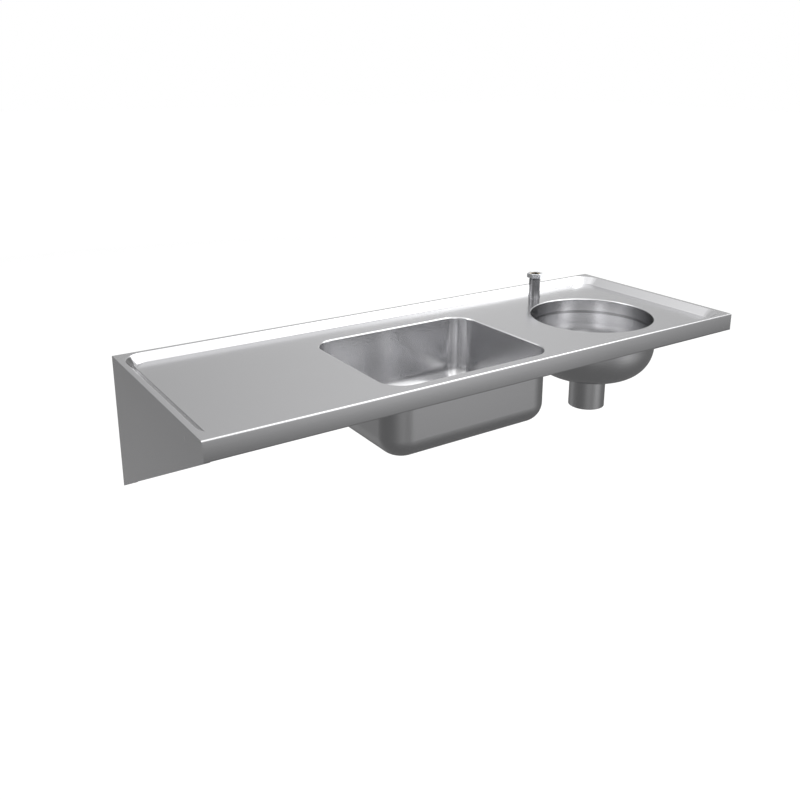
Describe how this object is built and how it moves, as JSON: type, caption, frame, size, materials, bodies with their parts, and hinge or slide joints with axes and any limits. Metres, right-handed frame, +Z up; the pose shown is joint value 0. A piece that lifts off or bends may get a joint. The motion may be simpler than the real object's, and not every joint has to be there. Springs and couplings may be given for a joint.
{
  "type": "sluice sink",
  "caption": "Wall-hung stainless sluice sink: recessed worktop with a left drainer, rectangular basin, round flushing-rim bowl with outlet spigot, flush inlet and gable brackets.",
  "frame": {"origin": "centre of the rectangle of four wall bolt holes, in the wall plane", "axes": "+X along the worktop to the right as seen from the front, +Y into the wall, +Z up"},
  "size_m": [1.6, 0.6, 0.4055],
  "materials": {
    "deck_steel": "satin polished",
    "gable_steel": "dull satin",
    "bowl_steel": "polished",
    "frame_steel": "mill finish",
    "pipe_steel": "drawn tube",
    "bright_chrome": "bright plated",
    "brass": "turned",
    "black_rubber": "moulded",
    "sound_pad": "bitumen sheet"
  },
  "bodies": {
    "sink": {"worktop": "deck_steel", "left_gable": "gable_steel", "right_gable": "gable_steel", "basin": "bowl_steel", "bowl_wall": "bowl_steel", "bowl_dish": "bowl_steel", "flushing_rim": "bowl_steel", "outlet_spigot": "bowl_steel", "flush_duct": "bowl_steel", "flush_pipe": "pipe_steel", "pipe_collar": "pipe_steel", "cone_seal": "black_rubber", "front_channel": "frame_steel", "rear_channel_left": "frame_steel", "rear_channel_right": "frame_steel", "cross_channel_1": "frame_steel", "cross_channel_2": "frame_steel", "cross_channel_3": "frame_steel", "cross_channel_4": "frame_steel", "cross_channel_5": "frame_steel", "drainer_pad_1": "sound_pad", "drainer_pad_2": "sound_pad", "basin_pad": "sound_pad", "waste_body": "bright_chrome", "waste_gasket": "black_rubber", "waste_washer": "black_rubber", "waste_back_nut": "brass", "strainer_plate": "bright_chrome", "strainer_screw": "bright_chrome", "earth_stud": "brass", "earth_tag": "bright_chrome", "earth_washer": "bright_chrome", "earth_nut": "bright_chrome"},
    "slip_ring": {"slip_ring": "brass"},
    "gland_nut": {"gland_nut": "bright_chrome"}
  },
  "joints": [
    {"name": "nut_lift", "type": "slide", "parent": "sink", "child": "slip_ring", "axis": [0, 0, 1], "range_m": [0, 0.006]},
    {"name": "nut_turn", "type": "hinge", "parent": "slip_ring", "child": "gland_nut", "pos_m": [0.496, -0.081, 0.245], "axis": [0, 0, 1], "range_deg": [0, 1080]}
  ],
  "couplings": [
    {"joint": "nut_lift", "follows": "nut_turn", "m_per_rad": 0.000318}
  ]
}
